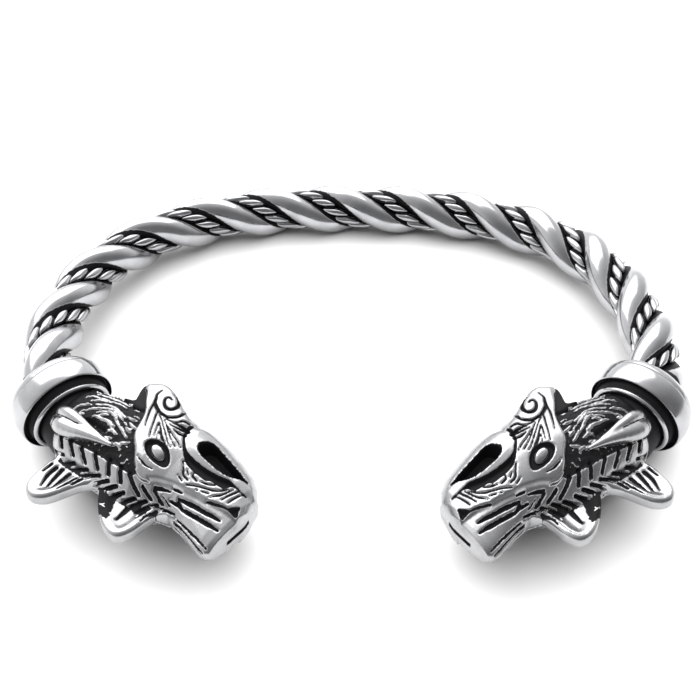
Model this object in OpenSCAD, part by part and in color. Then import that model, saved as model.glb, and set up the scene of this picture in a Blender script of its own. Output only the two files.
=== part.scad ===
// Open arm ring: a band twisted from two smooth rods and two beaded wires, with a collar and a beast head
// at each end. Millimetres. It lies on its side, as it rests by itself, with the gap in front, towards -Y.

/* [Band] */
// Half the width of the band's middle line, from side to side
band_half_width = 32.7; // [31:0.5:36]
// Depth of the middle line behind its widest place
back_depth = 28.5; // [26:0.5:31]
// Power of the rounded back, where 2 is an ellipse and more is squarer
back_power = 2.5; // [2:0.02:2.6]
// Depth of the ellipse that the front quarters follow
front_depth = 19.6; // [18.4:0.2:21]
// How far each end of the middle line lies from the ring's middle
end_half_width = 28.9; // [28:0.1:29.6]
// How far each end of the middle line dips below the ring's plane
end_drop = 1.2; // [0:0.1:1.4]
// Length of band in which it dips
drop_length = 10; // [8:0.5:14]
// Length of band in which a strand winds round once
lead = 17.2; // [15:0.2:19]
// Diameter of a smooth rod
rod_d = 3; // [2.6:0.1:3.2]
// Diameter of a beaded wire
wire_d = 1.2; // [0.8:0.1:1.2]
// Gap between pieces that lie against each other
gap = 0.06; // [0.04:0.01:0.12]

/* [Collar] */
// Largest outer diameter of the collar
collar_d = 10.4; // [10.2:0.1:11]
// Length of the collar's wide rim
rim_length = 2.4; // [2.2:0.1:3]
// Length of the narrower cap behind the rim
cap_length = 1.3; // [1.1:0.1:1.4]
// Outer diameter of the thin ring round the neck
neck_ring_d = 8.6; // [8.5:0.1:9]

/* [Head] */
// Angle by which each head bends away from the collar's direction, towards the other head
head_bend = 12.76; // [10:0.02:16]
// Length of the head from the collar's front to the snout
head_length = 24.4; // [23.6:0.2:26]
// Height that the head's outline is measured in, from throat to brow
head_height = 10.2; // [9.6:0.1:10.6]
// Widest measure of the head, across the brows
head_width = 10; // [9.4:0.1:10.4]
// Height of the lines and bands raised on the flanks
relief = 0.35; // [0.2:0.05:0.5]

/* [Hidden] */

steel = [0.78, 0.78, 0.79];
dark_steel = [0.62, 0.62, 0.63];

// Middle line of the band, seen from above, by an angle that is 0 at the right and 90 at the back
end_angle = acos(end_half_width / band_half_width);
function powered(value, power) = sign(value) * pow(abs(value), power);
function unit(v) = v / norm(v);
function line_at(angle) =
    let (behind = sin(angle) > 0)
    let (power = behind ? back_power : 2)
    let (depth = behind ? back_depth : front_depth)
    [band_half_width * powered(cos(angle), 2 / power), depth * powered(sin(angle), 2 / power), 0];

// The same line by its length, measured from the left collar round the back to the right collar
LINE_STEPS = 400;
line_angles = [for (i = [0 : LINE_STEPS]) 180 + end_angle - i * (180 + 2 * end_angle) / LINE_STEPS];
function step_length(i) = i < LINE_STEPS ? norm(line_at(line_angles[i + 1]) - line_at(line_angles[i])) : 0;
angle_by_length = [
    for (i = 0, run = 0; i <= LINE_STEPS; run = run + step_length(i), i = i + 1) [run, line_angles[i]]
];
band_length = angle_by_length[LINE_STEPS][0];
function dip(run) = end_drop * pow(max(0, 1 - min(run, band_length - run) / drop_length), 2);
function on_line(run) = line_at(lookup(run, angle_by_length)) - [0, 0, dip(run)];

// Directions along the line, outward from it and up from it
PROBE = 0.4;
function ahead(run) = unit(on_line(run + PROBE) - on_line(run - PROBE));
function outward(run) = let (t = ahead(run)) unit([-t[1], t[0], 0]);
function upward(run) = cross(ahead(run), outward(run));

// Strands: offset of each middle from the line, and angle at the middle of the back, 0 outward and 90 up
rod_offset = rod_d / 2 + gap / 2;
band_r = rod_offset + rod_d / 2;
wire_offset = rod_offset + 0.34 * wire_d + gap / 2;
wire_start = 210;
rod_start = wire_start - 90;
RINGS_PER_TURN = 12;
ROD_SIDES = 12;
WIRE_SIDES = 9;

// The strands end inside the collars, this far behind the collar's front
strand_end = 2.2;

// Collar: curve of the rim, step to the cap, socket for the strands, socket for the neck and cove in front
rim_round = 5;
cap_r = collar_d / 2 - 0.3;
strand_socket_r = band_r + 0.45;
neck_r = 3.7;
neck_in = 1.15;
neck_out = 3.6;
neck_socket_r = neck_r + 0.1;
neck_socket_depth = 1.35;
cove_r = 0.7;
ring_wire_r = 0.22;
groove_width = 0.3;
groove_depth = 0.5;

// Sections of the skull, a row each from the neck to the snout
// Places are shares of the head's length, heights of its height and widths of half its width
PLACE = 0;
TOP = 1;
MIDDLE = 2;
BOTTOM = 3;
WIDTH = 4;
TOP_POWER = 5;
BOTTOM_POWER = 6;
SKULL = [
    [0.080, 0.350, 0.000, -0.355, 0.710, 2.0, 2.0],
    [0.105, 0.352, -0.020, -0.420, 0.800, 2.0, 1.9],
    [0.157, 0.350, -0.020, -0.490, 0.880, 2.0, 1.8],
    [0.248, 0.390, 0.000, -0.520, 0.930, 2.0, 1.8],
    [0.331, 0.390, 0.000, -0.520, 0.960, 2.2, 1.8],
    [0.413, 0.420, 0.050, -0.530, 0.980, 2.4, 1.8],
    [0.496, 0.460, 0.080, -0.540, 0.980, 2.6, 1.8],
    [0.570, 0.470, 0.080, -0.530, 0.940, 2.8, 1.8],
    [0.620, 0.450, 0.070, -0.490, 0.880, 2.8, 1.8],
    [0.682, 0.480, 0.080, -0.440, 0.775, 2.8, 1.9],
    [0.744, 0.490, 0.080, -0.400, 0.685, 2.8, 2.1],
    [0.826, 0.460, 0.060, -0.430, 0.560, 2.8, 2.2],
    [0.893, 0.410, 0.030, -0.480, 0.460, 2.8, 2.3],
    [0.942, 0.330, 0.000, -0.510, 0.380, 2.6, 2.4],
    [0.975, 0.220, -0.060, -0.510, 0.315, 2.4, 2.4],
    [0.992, 0.080, -0.140, -0.480, 0.255, 2.2, 2.4],
    [1.000, -0.060, -0.200, -0.420, 0.140, 2.0, 2.2]
];
SKULL_SIDES = 20;

// Raised band that runs from the crest's tip round the eye and on as the upper lip
// Columns: place along the head, height, diameter
LIP_BAND = [
    [0.331, 0.430, 1.1],
    [0.400, 0.220, 1.0],
    [0.450, 0.040, 1.1],
    [0.492, -0.160, 1.3],
    [0.541, -0.260, 1.5],
    [0.603, -0.280, 1.5],
    [0.694, -0.200, 1.1],
    [0.909, -0.130, 0.8],
    [0.967, -0.110, 0.7]
];

// Outline of the crest from its backward tip over the brow and down to the forehead, place and height
CREST = [
    [0.289, 0.450], [0.314, 0.520], [0.355, 0.590], [0.405, 0.575], [0.471, 0.500], [0.529, 0.430],
    [0.585, 0.370], [0.615, 0.300], [0.600, 0.050], [0.420, 0.050], [0.335, 0.200]
];
crest_middle = [0.45, 0.33];
crest_flat = 0.8;
crest_full = 1.02;

// Ear, a drop with its round end towards the collar
// Columns: place, height, diameter
EAR = [
    [0.097, -0.260, 1.9],
    [0.240, -0.270, 1.5],
    [0.400, -0.255, 0.5]
];

// Nostril: the swelling round it and the hole cut into it
// Columns: place, height, diameter
NOSTRIL_SWELLING = [
    [0.702, 0.230, 3.4],
    [0.806, 0.220, 3.0],
    [0.921, 0.170, 2.0]
];
NOSTRIL_HOLE = [
    [0.720, 0.220, 1.75],
    [0.800, 0.220, 1.60],
    [0.900, 0.215, 0.30]
];
nostril_depth = 1.1;

// Eye: place, height, half length and half height of the socket and of the ball
eye = [0.583, -0.095];
eye_tilt = -12;
socket_size = [1.75, 1, 0.6];
ball_size = [0.82, 0.6, 0.45];

// Spiral boss on the crest: place, height, and radius
boss = [0.445, 0.395];
boss_r = 1.6;

// Grooves cut in the jaw: place and height of each end
JAW_GROOVES = [
    [[0.768, -0.305], [0.940, -0.235]],
    [[0.785, -0.345], [0.955, -0.300]],
    [[0.800, -0.400], [0.930, -0.435]]
];
groove_d = 0.42;

// Herringbone on the throat: strokes above and below the line where they meet
UPPER_STROKES = 7;
upper_first = [[0.190, -0.370], [0.225, -0.440]];
LOWER_STROKES = 6;
lower_first = [[0.205, -0.490], [0.250, -0.455]];
stroke_step = 0.062;
stroke_d = 0.5;

// Throat fins: a round tip and two root corners each
// Columns: place, height, radius, half width
FIN_ONE = [
    [0.252, -0.810, 1.65, 0.7],
    [0.215, -0.450, 0.30, 1.7],
    [0.352, -0.450, 0.30, 1.7]
];
FIN_TWO = [
    [0.636, -0.710, 1.35, 0.7],
    [0.440, -0.470, 0.30, 1.8],
    [0.690, -0.390, 0.30, 1.1]
];

// Slit between the two flanks of the muzzle: height of its ends, width and depth
slit_height = [0.050, -0.340];
slit_width = 0.3;
slit_depth = 1.0;

// Turn and dip of the collars, turn of the heads, and place of the heads in front of the collars
end_ahead = ahead(PROBE);
collar_turn = atan2(end_ahead[1], -end_ahead[0]);
collar_dip = asin(end_ahead[2]);
head_turn = collar_turn - head_bend;
head_ahead = 0.5;
head_aside = -0.3;

// How the ring rests: on the lower bosses and the middle of the back, so the front stands a little higher
boss_y = on_line(0)[1] - (head_ahead + boss[0] * head_length) * sin(head_turn)
    + (head_aside + boss[1] * head_height) * cos(head_turn);
boss_bottom = end_drop + crest_full * head_width / 2 + relief / 2;
rest_tilt = asin((boss_bottom - band_r) / (back_depth - boss_y - boss_r));
rest_lift = back_depth * sin(rest_tilt) + band_r * cos(rest_tilt);
chin_y = on_line(0)[1] - (head_ahead + head_length) * sin(head_turn) - 0.57 * head_height * cos(head_turn);
rest_shift = -(back_depth + band_r + chin_y) / 2 - 0.2;

module laid() {
    translate([0, rest_shift, rest_lift]) rotate([-rest_tilt, 0, 0]) children();
}

// Half the head's width at a place along it and a height
function skull_value(place, column) = lookup(place, [for (row = SKULL) [row[PLACE], row[column]]]);
function flank(place, height) =
    let (middle = skull_value(place, MIDDLE))
    let (above = height > middle)
    let (edge = skull_value(place, above ? TOP : BOTTOM))
    let (power = skull_value(place, above ? TOP_POWER : BOTTOM_POWER))
    let (reach = min(1, abs((height - middle) / (edge - middle))))
    head_width / 2 * skull_value(place, WIDTH) * pow(1 - pow(reach, power), 1 / power);

// Outline of the skull across the head, once round
function skull_ring(row) = [
    for (k = [0 : SKULL_SIDES - 1])
        let (turn = 360 * k / SKULL_SIDES)
        let (above = cos(turn) > 0)
        let (power = above ? row[TOP_POWER] : row[BOTTOM_POWER])
        let (reach = above ? row[TOP] - row[MIDDLE] : row[MIDDLE] - row[BOTTOM])
        [
            row[PLACE] * head_length,
            head_height * (row[MIDDLE] + reach * powered(cos(turn), 2 / power)),
            head_width / 2 * row[WIDTH] * powered(sin(turn), 2 / power)
        ]
];

// Solid through rings of points that all have the same number of sides
module through_rings(rings, sides) {
    count = len(rings);
    first_cap = [[for (k = [0 : sides - 1]) k]];
    last_cap = [[for (k = [sides - 1 : -1 : 0]) (count - 1) * sides + k]];
    walls = [
        for (i = [0 : count - 2], k = [0 : sides - 1])
            let (here = i * sides + k)
            let (beside = i * sides + (k + 1) % sides)
            each [[here, here + sides, beside], [beside, here + sides, beside + sides]]
    ];
    polyhedron([for (ring = rings) each ring], concat(first_cap, walls, last_cap), convexity = 6);
}

// Middle of a strand that winds round the line
function strand_at(run, offset, start) =
    let (turn = start + 360 * (run - band_length / 2) / lead)
    on_line(run) + offset * (cos(turn) * outward(run) + sin(turn) * upward(run));

// One strand of the band
module strand(offset, start, d, sides) {
    first = strand_end;
    last = band_length - strand_end;
    steps = round((last - first) / lead * RINGS_PER_TURN);
    rings = [
        for (i = [0 : steps])
            let (run = first + i * (last - first) / steps)
            let (middle = strand_at(run, offset, start))
            let (before = strand_at(run - PROBE, offset, start))
            let (tangent = unit(strand_at(run + PROBE, offset, start) - before))
            let (away = unit(middle - on_line(run)))
            let (across = unit(cross(tangent, away)))
            let (side = cross(across, tangent))
            [
                for (k = [0 : sides - 1])
                    let (turn = 360 * k / sides)
                    middle + d / 2 * (cos(turn) * side + sin(turn) * across)
            ]
    ];
    laid() through_rings(rings, sides);
}

module smooth_strand_a() {
    color(steel) strand(rod_offset, rod_start, rod_d, ROD_SIDES);
}

module smooth_strand_b() {
    color(steel) strand(rod_offset, rod_start + 180, rod_d, ROD_SIDES);
}

module beaded_wire_a() {
    color(dark_steel) strand(wire_offset, wire_start, wire_d, WIRE_SIDES);
}

module beaded_wire_b() {
    color(dark_steel) strand(wire_offset, wire_start + 180, wire_d, WIRE_SIDES);
}

// Front of the left collar, with +X forward and +Y towards the wrist
module at_left_end() {
    laid() translate(on_line(0)) children();
}

module at_right_end() {
    laid() mirror([1, 0, 0]) translate(on_line(0)) children();
}

// The collar sits square on the end of the middle line
module along_line() {
    rotate([0, 0, -collar_turn]) rotate([0, collar_dip, 0]) children();
}

// Half of the collar's cut face: radius across, and forward upwards
module collar_profile() {
    difference() {
        union() {
            intersection() {
                translate([collar_d / 2 - rim_round, -rim_length / 2]) circle(rim_round);
                translate([0, -rim_length]) square([collar_d, rim_length]);
            }
            intersection() {
                translate([cap_r - cap_length, -rim_length]) circle(cap_length);
                translate([0, -rim_length - cap_length]) square([collar_d, cap_length]);
            }
            translate([0, -rim_length - cap_length]) square([cap_r - cap_length, cap_length]);
            difference() {
                translate([0, -rim_length / 2]) square([cap_r - groove_width, rim_length / 2 + cove_r]);
                translate([collar_d / 2, cove_r]) circle(cove_r);
            }
            translate([neck_ring_d / 2 - ring_wire_r, cove_r + ring_wire_r / 2]) circle(ring_wire_r);
        }
        translate([-1, -collar_d]) square([strand_socket_r + 1, collar_d]);
        translate([-1, -neck_socket_depth]) square([neck_socket_r + 1, collar_d]);
        translate([cap_r - groove_width, -groove_depth]) square([groove_width, collar_d]);
    }
}

module collar() {
    rotate([0, 90, 0]) rotate_extrude($fn = 96) collar_profile($fn = 96);
}

module left_collar() {
    color(steel) at_left_end() along_line() collar();
}

module right_collar() {
    color(steel) at_right_end() along_line() collar();
}

// A place and height on the head, as a point over the flank's surface
function on_flank(place, height, lift) =
    [place * head_length, height * head_height, flank(place, height) + lift];

// Rounded bar through the points of a table of place, height and diameter
module bar(table, sink, facets) {
    for (i = [0 : len(table) - 2]) {
        hull() {
            for (row = [table[i], table[i + 1]])
                translate(on_flank(row[0], row[1], relief - row[2] / 2 + sink))
                    sphere(d = row[2], $fn = facets);
        }
    }
}

module skull() {
    through_rings([for (row = SKULL) skull_ring(row)], SKULL_SIDES);
}

// Plate with the crest's outline, drawn in towards the outline's middle
module crest_plate(half_width, share) {
    outline = [for (p = CREST) crest_middle + share * (p - crest_middle)];
    linear_extrude(half_width * head_width, center = true)
        polygon([for (p = outline) [p[0] * head_length, p[1] * head_height]]);
}

module crest() {
    hull() {
        crest_plate(crest_flat, 1);
        crest_plate(crest_full, 0.78);
    }
}

module fin(table) {
    hull() {
        for (row = table)
            translate([row[0] * head_length, row[1] * head_height, 0])
                cylinder(h = 2 * row[3], r = row[2], center = true, $fn = 12);
    }
}

// Strokes of the herringbone, raised
module strokes(count, first) {
    for (i = [0 : count - 1]) {
        hull() {
            for (end = first)
                translate(on_flank(end[0] + i * stroke_step, end[1], 0)) sphere(d = stroke_d, $fn = 4);
        }
    }
}

module flank_relief() {
    bar(LIP_BAND, 0, 6);
    bar(EAR, 0.25, 8);
    bar(NOSTRIL_SWELLING, 0, 8);
    strokes(UPPER_STROKES, upper_first);
    strokes(LOWER_STROKES, lower_first);
}

module flank_cuts() {
    translate(on_flank(eye[0], eye[1], 0.2)) rotate(eye_tilt) scale(socket_size) sphere(1, $fn = 10);
    nostril_floor = flank(NOSTRIL_HOLE[1][0], NOSTRIL_HOLE[1][1]) - nostril_depth;
    hull() {
        for (row = NOSTRIL_HOLE)
            translate([row[0] * head_length, row[1] * head_height, nostril_floor])
                cylinder(h = head_width, d = row[2], $fn = 12);
    }
    for (groove = JAW_GROOVES) {
        hull() {
            for (end = groove)
                translate(on_flank(end[0], end[1], 0)) sphere(d = groove_d, $fn = 4);
        }
    }
}

module eye_ball() {
    translate(on_flank(eye[0], eye[1], -0.25)) rotate(eye_tilt) scale(ball_size) sphere(1, $fn = 8);
}

module spiral_boss() {
    translate([boss[0] * head_length, boss[1] * head_height, crest_full * head_width / 2])
        cylinder(h = relief, r1 = boss_r, r2 = boss_r - relief, center = true, $fn = 16);
}

module both_sides() {
    children();
    mirror([0, 0, 1]) children();
}

module front_slit() {
    slit_length = (slit_height[0] - slit_height[1]) * head_height;
    translate([head_length - slit_depth, slit_height[1] * head_height, -slit_width / 2])
        cube([2 * slit_depth, slit_length, slit_width]);
}

// Round stub of the head that goes into the collar
module neck() {
    along_line() translate([-neck_in, 0, 0]) rotate([0, 90, 0])
        cylinder(h = neck_in + neck_out, r = neck_r, $fn = 36);
}

module beast() {
    difference() {
        union() {
            skull();
            crest();
            fin(FIN_ONE);
            fin(FIN_TWO);
            both_sides() flank_relief();
        }
        both_sides() flank_cuts();
        front_slit();
    }
    both_sides() eye_ball();
    both_sides() spiral_boss();
}

module head() {
    neck();
    rotate([0, 0, -head_turn]) translate([head_ahead, head_aside, 0]) beast();
}

module left_head() {
    color(steel) at_left_end() head();
}

module right_head() {
    color(steel) at_right_end() head();
}

smooth_strand_a();
smooth_strand_b();
beaded_wire_a();
beaded_wire_b();
left_collar();
right_collar();
left_head();
right_head();
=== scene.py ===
"""Looks of an open arm ring: a twisted steel band with a collar and a cast beast head at each end.

Every piece is drawn in millimetres in the ring's own frame, where the band lies flat in the XY plane round
the origin, and is then laid on the table as the CAD model lies. The gap faces -Y.
"""

import math

import bpy
import numpy as np
from mathutils import Matrix, Vector


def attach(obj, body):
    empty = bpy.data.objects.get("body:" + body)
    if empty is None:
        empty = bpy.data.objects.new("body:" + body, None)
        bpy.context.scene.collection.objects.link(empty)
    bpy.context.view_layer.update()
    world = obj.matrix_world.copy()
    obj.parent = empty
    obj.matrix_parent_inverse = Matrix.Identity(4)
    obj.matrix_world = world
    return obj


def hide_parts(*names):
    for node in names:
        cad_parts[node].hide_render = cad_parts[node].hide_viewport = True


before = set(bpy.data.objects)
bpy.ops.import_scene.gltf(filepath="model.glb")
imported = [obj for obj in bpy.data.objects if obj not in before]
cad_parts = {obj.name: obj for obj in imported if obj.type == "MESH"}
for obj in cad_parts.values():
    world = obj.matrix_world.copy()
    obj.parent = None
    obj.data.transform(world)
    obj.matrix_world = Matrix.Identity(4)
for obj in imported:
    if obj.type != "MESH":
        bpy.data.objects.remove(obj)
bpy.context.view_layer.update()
chance = np.random.default_rng(7)

# Lie of the ring on the table. It rests on the lower bosses of the two heads and on the middle of the back,
# so it leans a few degrees and its front stands a little higher. Lift and shift are where its origin then
# comes to be.
LEAN = math.radians(4.95)
LIFT = 5.478
SHIFT = -1.566
lie = Matrix.Translation((0, SHIFT, LIFT)) @ Matrix.Rotation(-LEAN, 4, "X")


def laid(points):
    """Ring millimetres as table metres."""
    turn = np.array(lie.to_3x3())
    return (points @ turn.T + np.array(lie.translation)) / 1000


# Smooth strands. Two round rods of stainless steel 3 mm thick, twisted together and polished; their flanks
# stay black with oxide where the polishing wheel doesn't reach, and the same black is painted shade down in
# the two channels that hold the beaded wires.
BAND_HALF_WIDTH = 32.7
BACK_DEPTH = 28.5
BACK_POWER = 2.5
FRONT_DEPTH = 19.6
END_HALF_WIDTH = 28.9
END_DROP = 1.2
DROP_LENGTH = 10
LEAD = 17.2
GAP = 0.06
ROD_R = 1.5
ROD_OFFSET = ROD_R + GAP / 2
ROD_START = 120
STRAND_END = 2.2
PROBE = 0.4
LINE_POINTS = 4001


def powered(value, power):
    return np.sign(value) * np.abs(value) ** power


def unit(v):
    return v / np.linalg.norm(v, axis=-1, keepdims=True)


def smooth(low, high, value):
    """0 below low, 1 above high and a smooth rise between; low may be the larger."""
    t = np.clip((value - low) / (high - low), 0, 1)
    return t * t * (3 - 2 * t)


# The band's middle line, seen from above, by its length from the left collar round the back to the right one
end_angle = math.acos(END_HALF_WIDTH / BAND_HALF_WIDTH)
line_turn = np.linspace(math.pi + end_angle, -end_angle, LINE_POINTS)
line_behind = np.sin(line_turn) > 0
line_power = 2 / np.where(line_behind, BACK_POWER, 2)
line_depth = np.where(line_behind, BACK_DEPTH, FRONT_DEPTH)
line_x = BAND_HALF_WIDTH * powered(np.cos(line_turn), line_power)
line_y = line_depth * powered(np.sin(line_turn), line_power)
line_run = np.concatenate([[0], np.cumsum(np.hypot(np.diff(line_x), np.diff(line_y)))])
band_length = line_run[-1]


def on_line(run):
    """Points of the middle line, which dips a little towards both ends."""
    from_end = np.minimum(run, band_length - run)
    dip = END_DROP * np.clip(1 - from_end / DROP_LENGTH, 0, None) ** 2
    return np.stack([np.interp(run, line_run, line_x), np.interp(run, line_run, line_y), -dip], -1)


def ahead(run):
    return unit(on_line(run + PROBE) - on_line(run - PROBE))


def outward(run):
    t = ahead(run)
    return unit(np.stack([-t[..., 1], t[..., 0], 0 * t[..., 0]], -1))


def upward(run):
    return np.cross(ahead(run), outward(run))


def away(run, start):
    """Direction from the middle line to a strand that winds round it."""
    turn = np.radians(start + 360 * (run - band_length / 2) / LEAD)[..., None]
    return np.cos(turn) * outward(run) + np.sin(turn) * upward(run)


def strand_at(run, offset, start):
    return on_line(run) + offset * away(run, start)


def strand_tube(offset, start, radius, rings, sides):
    """A tube along a strand with closed ends: points, faces, and the place along the band of each point."""
    run = np.linspace(STRAND_END, band_length - STRAND_END, rings)
    middle = strand_at(run, offset, start)
    tangent = unit(strand_at(run + PROBE, offset, start) - strand_at(run - PROBE, offset, start))
    across = unit(np.cross(tangent, away(run, start)))
    side = np.cross(across, tangent)
    turn = np.linspace(0, 2 * math.pi, sides, endpoint=False)
    points = middle[:, None] + radius * (
        np.cos(turn)[None, :, None] * side[:, None] + np.sin(turn)[None, :, None] * across[:, None]
    )
    i, k = np.meshgrid(np.arange(rings - 1), np.arange(sides), indexing="ij")
    here, beside = i * sides + k, i * sides + (k + 1) % sides
    faces = np.stack([here, here + sides, beside + sides, beside], -1).reshape(-1, 4)
    ends = [list(range(sides)), list(range(rings * sides - 1, (rings - 1) * sides - 1, -1))]
    return points.reshape(-1, 3), faces.tolist() + ends, np.repeat(run, sides)


def add_mesh(name, points, faces, patina_and_shade):
    """A smooth-shaded mesh from ring millimetres. patina_and_shade says how black each point is, from 0 to 1:
    black oxide, and painted shade in some hollows.
    """
    mesh = bpy.data.meshes.new(name)
    mesh.from_pydata(laid(points).tolist(), [], faces if isinstance(faces, list) else faces.tolist())
    mesh.shade_smooth()
    mesh.attributes.new("patina_and_shade", "FLOAT", "POINT").data.foreach_set("value", patina_and_shade.astype(np.float32))
    piece = bpy.data.objects.new(name, mesh)
    bpy.context.scene.collection.objects.link(piece)
    return piece


def linear(code):
    """An sRGB hex colour as the linear colour that Blender works in."""
    values = [int(code[i : i + 2], 16) / 255 for i in (1, 3, 5)]
    return [v / 12.92 if v <= 0.04045 else ((v + 0.055) / 1.055) ** 2.4 for v in values] + [1]


def add_node(tree, kind, inputs=(), **settings):
    """A shader node with its settings; each input takes a value or a link from another node's output."""
    made = tree.nodes.new(kind)
    for name, value in settings.items():
        setattr(made, name, value)
    for name, value in dict(inputs).items():
        if isinstance(value, bpy.types.NodeSocket):
            tree.links.new(value, made.inputs[name])
        else:
            made.inputs[name].default_value = value
    return made


# Sizes in millimetres of the faint dull patches that handling leaves on polished steel and of the polishing
# marks. The real marks are finer than the picture can show, so they are drawn coarser.
HAZE = 2.38
MARKS = 0.385


def steel(name, bright, polish, worn, grain):
    """Stainless steel, polished on what stands proud, and black where the patina_and_shade attribute is high:
    black oxide, and painted shade in some hollows.

    polish is the roughness of clean metal and worn how much it varies; grain is the height of the polishing
    marks in millimetres.
    """
    material = bpy.data.materials.new(name)
    material.use_nodes = True
    tree = material.node_tree
    shader = tree.nodes["Principled BSDF"]
    shader.inputs["Specular IOR Level"].default_value = 0.08
    place = add_node(tree, "ShaderNodeTexCoord").outputs["Object"]
    haze, marks = [
        add_node(
            tree, "ShaderNodeTexNoise", {"Vector": place, "Scale": 1000 / size, "Detail": detail}
        ).outputs["Fac"]
        for size, detail in ((HAZE, 4), (MARKS, 3))
    ]

    # The black, oxide and painted shade alike, ends in a frayed edge
    patina_and_shade = add_node(tree, "ShaderNodeAttribute", attribute_name="patina_and_shade").outputs["Fac"]
    fray = add_node(tree, "ShaderNodeMath", {0: marks, 1: 0.5, 2: -0.25}, operation="MULTIPLY_ADD").outputs[0]
    edge = add_node(tree, "ShaderNodeMath", {0: patina_and_shade, 1: fray}, operation="ADD").outputs[0]
    black = add_node(
        tree,
        "ShaderNodeMapRange",
        {"Value": edge, "From Min": 0.35, "From Max": 0.65},
        interpolation_type="SMOOTHSTEP",
    ).outputs[0]

    # Clean metal is a little duller in patches
    clean, oxide_and_shade_black = linear(bright), linear("#0C0C0D")
    dull = [0.5 * value for value in clean[:3]] + [1]
    patches = add_node(
        tree, "ShaderNodeMapRange", {"Value": haze, "From Min": 0.35, "From Max": 0.65, "To Max": 0.35}
    ).outputs[0]
    metal = add_node(tree, "ShaderNodeMix", {0: patches, 6: clean, 7: dull}, data_type="RGBA").outputs[2]
    rough = add_node(
        tree,
        "ShaderNodeMapRange",
        {"Value": haze, "From Min": 0.3, "From Max": 0.7, "To Min": polish, "To Max": polish + worn},
    ).outputs[0]
    colour = add_node(tree, "ShaderNodeMix", {0: black, 6: metal, 7: oxide_and_shade_black}, data_type="RGBA")
    matt = add_node(tree, "ShaderNodeMix", {0: black, 2: rough, 3: 0.5})
    bare = add_node(tree, "ShaderNodeMapRange", {"Value": black, "To Min": 1.0, "To Max": 0.0})
    relief = add_node(tree, "ShaderNodeBump", {"Strength": 1.0, "Distance": grain / 1000, "Height": marks})
    tree.links.new(colour.outputs[2], shader.inputs["Base Color"])
    tree.links.new(matt.outputs[0], shader.inputs["Roughness"])
    tree.links.new(bare.outputs[0], shader.inputs["Metallic"])
    tree.links.new(relief.outputs[0], shader.inputs["Normal"])
    return material


# Stainless steel rod polished on a wheel: long mirror highlights, hazy in patches, that break off at the
# black flanks
polished = steel("Polished stainless steel", "#B0B1B3", polish=0.12, worn=0.12, grain=0.002)

# The rods are bright above the first height from the middle line and black below the second, oxide and
# painted shade of the channels together; the flank that turns up towards the wheel stays bright a little
# deeper. The same holds by the distance from the collars.
BRIGHT_HEIGHT = 2.66
BLACK_HEIGHT = 2.1
DEEPER = 0.12
BRIGHT_FROM_COLLAR = 4.9
BLACK_FROM_COLLAR = 4.0

for letter, start in (("a", ROD_START), ("b", ROD_START + 180)):
    points, faces, run = strand_tube(ROD_OFFSET, start, ROD_R, rings=900, sides=44)
    from_line = points - on_line(run)
    height = np.linalg.norm(from_line, axis=1)
    sideways = (from_line * np.cross(ahead(run), away(run, start))).sum(1)
    # Black oxide and painted shade deep in the channels, by height above the middle line
    channel = smooth(BRIGHT_HEIGHT, BLACK_HEIGHT, height - DEEPER * smooth(-0.6, 1.2, sideways))
    at_collar = smooth(BRIGHT_FROM_COLLAR, BLACK_FROM_COLLAR, np.minimum(run, band_length - run))
    rod = add_mesh("rod_" + letter, points, faces, np.maximum(channel, at_collar))
    rod.data.materials.append(polished)
    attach(rod, "root")
    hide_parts("smooth_strand_" + letter)

# Beaded wires. Each channel between the rods holds a thinner wire rolled into a row of slanting oval beads.
# The tops of the beads are polished bright, and everything round them is black: oxide, and painted shade in
# the gaps.
BEAD_OFFSET = 1.8
BEAD_PITCH = 1.56
BEAD_HALF = (1.25, 0.87, 0.7)
BEAD_POWER = 0.7
BARE_LENGTH = 7.4
CORE_R = 0.42
CORE_OFFSET = 1.66
WIRE_START = 210
BEAD_SIDES = 28
BEAD_RINGS = 16

# Stainless steel wire rolled between grooved rolls: a short highlight on each bead, a little duller than
# the rods
beaded = steel("Rolled stainless steel", "#A6A7A9", polish=0.12, worn=0.12, grain=0.004)

# One bead of unit size round the origin: a pillow with flattened sides, its poles along the first axis
round_turn = np.linspace(0, 2 * math.pi, BEAD_SIDES, endpoint=False)
pole_turn = np.linspace(0, math.pi, BEAD_RINGS + 1)[1:-1]
pillow = np.stack(
    [
        np.repeat(powered(np.cos(pole_turn), BEAD_POWER)[:, None], BEAD_SIDES, 1),
        np.sin(pole_turn)[:, None] ** BEAD_POWER * powered(np.cos(round_turn), BEAD_POWER)[None],
        np.sin(pole_turn)[:, None] ** BEAD_POWER * powered(np.sin(round_turn), BEAD_POWER)[None],
    ],
    -1,
).reshape(-1, 3)
pillow = np.concatenate([pillow, [[1, 0, 0], [-1, 0, 0]]])
pillow_faces = []
for i in range(BEAD_RINGS - 2):
    for k in range(BEAD_SIDES):
        here, beside = i * BEAD_SIDES + k, i * BEAD_SIDES + (k + 1) % BEAD_SIDES
        pillow_faces.append([here, here + BEAD_SIDES, beside + BEAD_SIDES, beside])
last_ring = (BEAD_RINGS - 2) * BEAD_SIDES
for k in range(BEAD_SIDES):
    pillow_faces.append([k, (k + 1) % BEAD_SIDES, len(pillow) - 2])
    pillow_faces.append([last_ring + (k + 1) % BEAD_SIDES, last_ring + k, len(pillow) - 1])

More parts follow.
